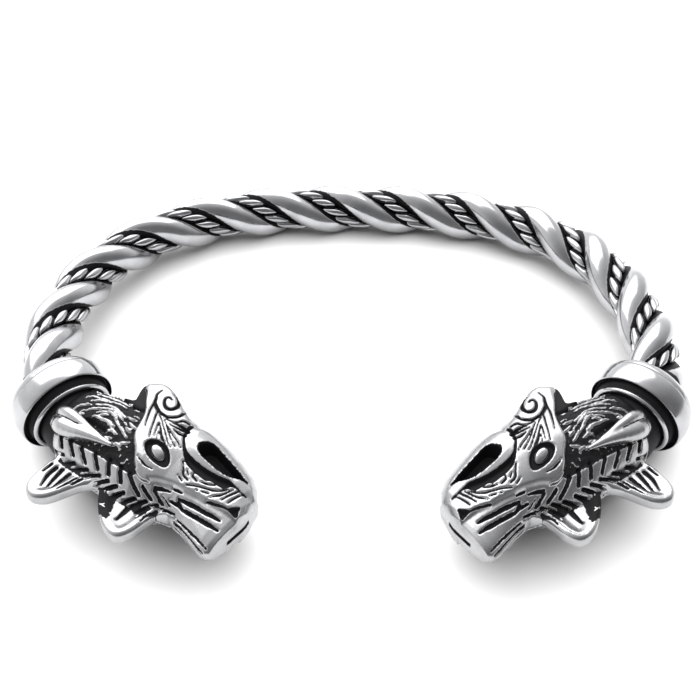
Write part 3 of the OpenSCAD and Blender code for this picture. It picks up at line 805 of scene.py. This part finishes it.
def joined(a, b, blend):
    """Two solids as one, with a fillet about as wide as blend."""
    h = np.clip(0.5 + 0.5 * (b - a) / blend, 0, 1)
    return b + (a - b) * h - blend * h * (1 - h)


def plate(edge, side, half_thickness, rounding):
    """A plate with rounded edges from the distance to its outline."""
    a, b = edge + rounding, side - half_thickness + rounding
    return np.minimum(np.maximum(a, b), 0) + np.hypot(np.maximum(a, 0), np.maximum(b, 0)) - rounding


def skull_row(s):
    return [np.interp(s, SKULL[:, 0], SKULL[:, k]) for k in range(1, 7)]


def flank(s, w):
    """Half width of the bare skull at a place and height."""
    top, middle, bottom, width, top_power, bottom_power = skull_row(s)
    power = np.where(w > middle, top_power, bottom_power)
    reach = np.where(w > middle, (w - middle) / (top - middle), (middle - w) / (middle - bottom))
    return width * (1 - np.clip(reach, 0, 1) ** power) ** (1 / power)


# The ear's main lobe and the fold above it: place, height, radius and how far it stands out from the flank
EAR = curve(
    [
        (2.0, -2.75, 0.6, 0.55), (2.8, -3.15, 0.85, 0.8), (3.9, -3.3, 0.98, 0.9), (5.3, -3.25, 0.9, 0.85),
        (6.8, -3.1, 0.7, 0.7), (8.4, -2.95, 0.46, 0.48), (10.0, -2.85, 0.2, 0.24),
    ],
    2,
)  # fmt: skip
FOLD = curve(
    [
        (2.0, -2.4, 0.4, 0.55), (2.7, -2.35, 0.55, 0.8), (3.6, -2.4, 0.6, 0.88), (4.7, -2.5, 0.55, 0.82),
        (5.9, -2.6, 0.44, 0.66), (7.1, -2.7, 0.32, 0.46), (8.2, -2.75, 0.2, 0.3),
    ],
    2,
)  # fmt: skip

# The neck is square with the collar, while the head bends away from it
bend, dip = math.radians(HEAD_BEND), collar_dip
neck_axis = np.array([math.cos(dip) * math.cos(bend), -math.cos(dip) * math.sin(bend), -math.sin(dip)])
neck_origin = np.array([-HEAD_AHEAD, -HEAD_ASIDE, 0])

# Half thickness and roundness of the crest, of the web behind it and of the fins
CREST_HALF, CREST_ROUND = 5.08, 1.1
BACKING_HALF, BACKING_ROUND = 4.4, 0.4
FIN_HALF, FIN_ROUND = 0.74, 0.5

# The nostrils are as deep as this but leave a wall between them; the slit parts the lips at the snout's end
NOSTRIL_DEPTH = 1.5
NOSTRIL_WALL = 0.5
SLIT_HALF = 0.14
SLIT_START = 23.5
SLIT_HEIGHT = -1.2
SLIT_REACH = 1.5


def head_field(s, w, z):
    """Distance outside the head's surface, and how black the surface is at that place."""
    # The bare skull, whose sections have one power above their middle and another below
    side = np.abs(z)
    top, middle, bottom, width, top_power, bottom_power = skull_row(s)
    upper = w > middle
    span = np.where(upper, top - middle, middle - bottom)
    power = np.where(upper, top_power, bottom_power)
    reach, spread = np.abs(w - middle) / span, side / width
    total = np.maximum(reach**power + spread**power, 1e-6)
    size = total ** (1 / power)
    slope = total ** (1 / power - 1)
    up_slope = slope * reach ** (power - 1) / span
    side_slope = slope * spread ** (power - 1) / width
    steep = np.maximum(np.hypot(up_slope, side_slope), 0.05)
    facing = side_slope / steep

    # What the drawing board lifts from it or cuts into it, less on the narrow top of the brow
    under_turn = np.arctan2(UNDER_CENTRE - w, side)
    turn_start = np.arctan2(UNDER_CENTRE - UNDER, flank(s, np.full_like(s, UNDER)))
    u = np.where(w > UNDER, w, UNDER - UNDER_R * (under_turn - turn_start))
    proud = on_board(lift, s, u)
    proud = np.where(w > 0, proud * smooth(0.15, 0.5, facing), proud)
    skull = np.maximum(np.maximum((size - 1) / steep - proud, SKULL_START - s), s - SKULL_END)

    # Crest, web and fins are plates whose outlines stand on the board
    crest = plate(on_board(crest_edge, s, w), side, CREST_HALF, CREST_ROUND) - (proud - FACE_LIFT)
    body = joined(skull, crest, 0.3)
    backing = plate(on_board(backing_edge, s, w), side, BACKING_HALF, BACKING_ROUND)
    is_backing = backing < body
    body = joined(body, backing, 0.15)
    fin_half = FIN_HALF + on_board(fin_lift, s, w)
    fins = np.minimum(
        plate(on_board(fin_edge_one, s, w), side, fin_half, FIN_ROUND),
        plate(on_board(fin_edge_two, s, w), side, fin_half, FIN_ROUND),
    )
    is_fin = fins < body
    body = joined(body, fins, 0.5)

    # Ear, drawn as two chains of tapered rods along the flank
    lobe, fold = [np.full_like(s, 9.0) for _ in range(2)]
    for rows, part in ((EAR, lobe), (FOLD, fold)):
        for (s0, w0, r0, out0), (s1, w1, r1, out1) in zip(rows[:-1], rows[1:]):
            z0 = flank(np.array(s0), np.array(w0)) + out0 - r0
            z1 = flank(np.array(s1), np.array(w1)) + out1 - r1
            a, b = np.array([s0, w0, z0]), np.array([s1, w1, z1])
            p = np.stack([s, w, side], -1) - a
            t = np.clip(p @ (b - a) / ((b - a) @ (b - a)), 0, 1)
            distance = np.linalg.norm(p - t[..., None] * (b - a), axis=-1) - (r0 + t * (r1 - r0))
            np.minimum(part, distance, out=part)
    ear = joined(lobe, fold, 0.2)
    is_ear = ear < body
    body = joined(body, ear, 0.06)

    # Neck, nostrils and slit
    p = np.stack([s, w, z], -1) - neck_origin
    along = p @ neck_axis
    from_axis = np.linalg.norm(p - along[..., None] * neck_axis, axis=-1)
    neck = np.maximum(np.maximum(from_axis - NECK_R, NECK_START - along), along - NECK_END)
    body = joined(body, neck, 0.25)
    nostril = np.maximum(on_board(nostril_edge, s, w), np.maximum(width - NOSTRIL_DEPTH, NOSTRIL_WALL) - side)
    body = -joined(-body, nostril, 0.12)
    slit = np.maximum(np.maximum(side - SLIT_HALF, SLIT_START - s), np.abs(w - SLIT_HEIGHT) - SLIT_REACH)
    body = np.maximum(body, -slit)

    # Black of the places, the later ones over the earlier
    dark = np.where(is_fin, on_board(fin_black, s, w), on_board(black, s, u))
    # The backing behind the crest is black all over: oxide and painted shade
    dark = np.where(is_backing, 1, dark)
    # Painted shade in the crease between the ear's lobe and its fold
    crease = 0.7 * smooth(0.22, 0.08, np.abs(lobe - fold)) * smooth(6.6, 5.6, s)
    dark = np.where(is_ear, crease, dark)
    dark = np.where(along < NECK_BLACK, 1, dark)
    dark = np.where((nostril < 0.12) | (slit < 0.1), 1, dark)
    return body, dark


def skin(field, origin, step):
    """Mesh of the surface where a field on a grid is zero, with one point in each cell that it crosses."""
    inside = field < 0
    cells_in = np.array(field.shape) - 1
    count = sum(
        inside[a : a + cells_in[0], b : b + cells_in[1], c : c + cells_in[2]].astype(np.uint8)
        for a in (0, 1)
        for b in (0, 1)
        for c in (0, 1)
    )
    cells = np.argwhere((count > 0) & (count < 8))
    number = np.full(cells_in, -1, np.int32)
    number[tuple(cells.T)] = np.arange(len(cells))
    total, hits = np.zeros((len(cells), 3)), np.zeros(len(cells))
    faces = []
    for axis in range(3):
        first, second = [x for x in range(3) if x != axis]
        for a in (0, 1):
            for b in (0, 1):
                start = cells.copy()
                start[:, first] += a
                start[:, second] += b
                end = start.copy()
                end[:, axis] += 1
                f0, f1 = field[tuple(start.T)], field[tuple(end.T)]
                crossed = (f0 < 0) != (f1 < 0)
                point = start.astype(float)
                point[:, axis] += np.where(crossed, f0 / np.where(crossed, f0 - f1, 1), 0)
                total[crossed] += point[crossed]
                hits += crossed
        low = [slice(None)] * 3
        high = [slice(None)] * 3
        low[axis], high[axis] = slice(None, -1), slice(1, None)
        edges = np.argwhere(inside[tuple(low)] != inside[tuple(high)])
        edges = edges[(edges[:, first] > 0) & (edges[:, second] > 0)]
        edges = edges[(edges[:, first] < cells_in[first]) & (edges[:, second] < cells_in[second])]
        ring = []
        for a, b in ((0, 0), (1, 0), (1, 1), (0, 1)):
            cell = edges.copy()
            cell[:, first] -= a
            cell[:, second] -= b
            ring.append(number[tuple(cell.T)])
        ring = np.stack(ring, 1)
        flip = inside[tuple(edges.T)] == (axis == 1)
        faces.append(np.where(flip[:, None], ring[:, ::-1], ring))
    return origin + step * total / hits[:, None], np.concatenate(faces)


# Grid that the head is skinned on; the cells are longest across the head, where the forms are broad
CELL = np.array([0.115, 0.115, 0.16])
SLAB = 24
head_low = np.array([-1.9, -10.3, -6.0])
head_high = np.array([24.8, 6.4, 6.0])
counts = np.ceil((head_high - head_low) / CELL).astype(int)
axes = [head_low[k] + CELL[k] * np.arange(counts[k]) for k in range(3)]
grid = np.empty(counts, np.float32)
for i in range(0, counts[0], SLAB):
    s, w, z = np.meshgrid(axes[0][i : i + SLAB], axes[1], axes[2], indexing="ij")
    grid[i : i + SLAB] = head_field(s, w, z)[0]
points, faces = skin(grid, head_low, CELL)

# Each point is moved on to the surface itself, by a part of a cell at most
NUDGE = 0.03
MOST = 0.05
for _ in range(2):
    value = head_field(*points.T)[0]
    rise = [
        head_field(*(points + nudge).T)[0] - head_field(*(points - nudge).T)[0] for nudge in NUDGE * np.eye(3)
    ]
    slope = np.stack(rise, 1) / (2 * NUDGE)
    move = -(value / np.maximum((slope**2).sum(1), 0.3))[:, None] * slope
    points = points + np.clip(move, -MOST, MOST)
patina_and_shade = head_field(*points.T)[1]

# Cast stainless steel, tumbled and then polished: broken, softer highlights over the faint unevenness of a
# casting
cast = steel("Cast stainless steel", "#AAABAC", polish=0.2, worn=0.1, grain=0.004)

head_turn = collar_turn - bend
head_axes = np.array(Matrix.Rotation(-head_turn, 3, "Z"))
ring_points = (points + [HEAD_AHEAD, HEAD_ASIDE, 0]) @ head_axes.T + end_point
for side, mirror in (("left", 1), ("right", -1)):
    head = add_mesh(side + "_beast_head", ring_points * [mirror, 1, 1], faces[:, ::mirror], patina_and_shade)
    head.data.materials.append(cast)
    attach(head, "root")
    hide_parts(side + "_head")

# Table. A sheet of matt white paper that reaches far past the picture. It only carries the ring and takes its
# soft shadow.
TABLE_HALF = 3
table_mesh = bpy.data.meshes.new("table")
table_corners = [(x * TABLE_HALF, y * TABLE_HALF, 0) for x, y in ((-1, -1), (1, -1), (1, 1), (-1, 1))]
table_mesh.from_pydata(table_corners, [], [(0, 1, 2, 3)])
table = bpy.data.objects.new("table", table_mesh)
bpy.context.scene.collection.objects.link(table)
# Uncoated white paper: matt, with no highlight
paper = bpy.data.materials.new("Matt white paper")
paper.use_nodes = True
paper.node_tree.nodes["Principled BSDF"].inputs["Base Color"].default_value = linear("#ACACAC")
paper.node_tree.nodes["Principled BSDF"].inputs["Roughness"].default_value = 0.9
table_mesh.materials.append(paper)

# Light. A soft box stands above and behind, a little to the left. A wide pale ceiling, which the metal
# doesn't mirror, softens the shadows. The walls go from dim in front to bright behind, and the polished
# metal mirrors them.
WALL_BRIGHT_WAY = (-0.45, 0.89, 0)


def add_light(name, place, target, size, watts):
    light = bpy.data.lights.new(name, "AREA")
    light.shape = "RECTANGLE"
    light.size, light.size_y = size
    light.energy = watts
    lamp = bpy.data.objects.new(name, light)
    lamp.location = place
    lamp.rotation_euler = (Vector(target) - Vector(place)).to_track_quat("-Z", "Y").to_euler()
    bpy.context.scene.collection.objects.link(lamp)
    return lamp


add_light("soft_box", place=(-0.12, 0.3, 0.33), target=(0, 0, 0), size=(0.7, 0.5), watts=2.8)
ceiling = add_light("ceiling", place=(0, 0.1, 0.5), target=(0, 0, 0), size=(1.2, 1.2), watts=22)
ceiling.visible_glossy = False
world = bpy.data.worlds.new("Studio walls")
world.use_nodes = True
room = world.node_tree
towards = add_node(
    room,
    "ShaderNodeVectorMath",
    {0: add_node(room, "ShaderNodeTexCoord").outputs["Generated"], 1: WALL_BRIGHT_WAY},
    operation="DOT_PRODUCT",
)
glow = add_node(
    room,
    "ShaderNodeMapRange",
    {"Value": towards.outputs["Value"], "From Min": -0.7, "From Max": 0.6, "To Min": 0.3, "To Max": 1.4},
    interpolation_type="SMOOTHSTEP",
)
room.links.new(glow.outputs[0], room.nodes["Background"].inputs["Color"])
bpy.context.scene.world = world
bpy.context.scene.view_settings.view_transform = "Standard"

# Camera. In front of the gap and 39 degrees above the ring's own plane, 114 mm from its middle. A small turn
# sideways and a small shift put the ring where the photo has it.
ELEVATION = math.radians(39)
DISTANCE = 114
SIDEWAYS = math.radians(0.6)
camera_data = bpy.data.cameras.new("camera")
camera_data.sensor_width = 36
camera_data.lens = 54.1
camera_data.shift_x = -0.0023
camera_data.shift_y = -0.004
camera_data.clip_start = 0.01
camera = bpy.data.objects.new("camera", camera_data)
back = Vector((0, -math.cos(ELEVATION), math.sin(ELEVATION)))
stand = Matrix.Translation(back * DISTANCE) @ Matrix.Rotation(math.pi / 2 - ELEVATION, 4, "X")
pose = lie @ Matrix.Rotation(SIDEWAYS, 4, "Z") @ stand
camera.matrix_world = Matrix.Translation(pose.translation / 1000) @ pose.to_3x3().to_4x4()
bpy.context.scene.collection.objects.link(camera)
bpy.context.scene.camera = camera
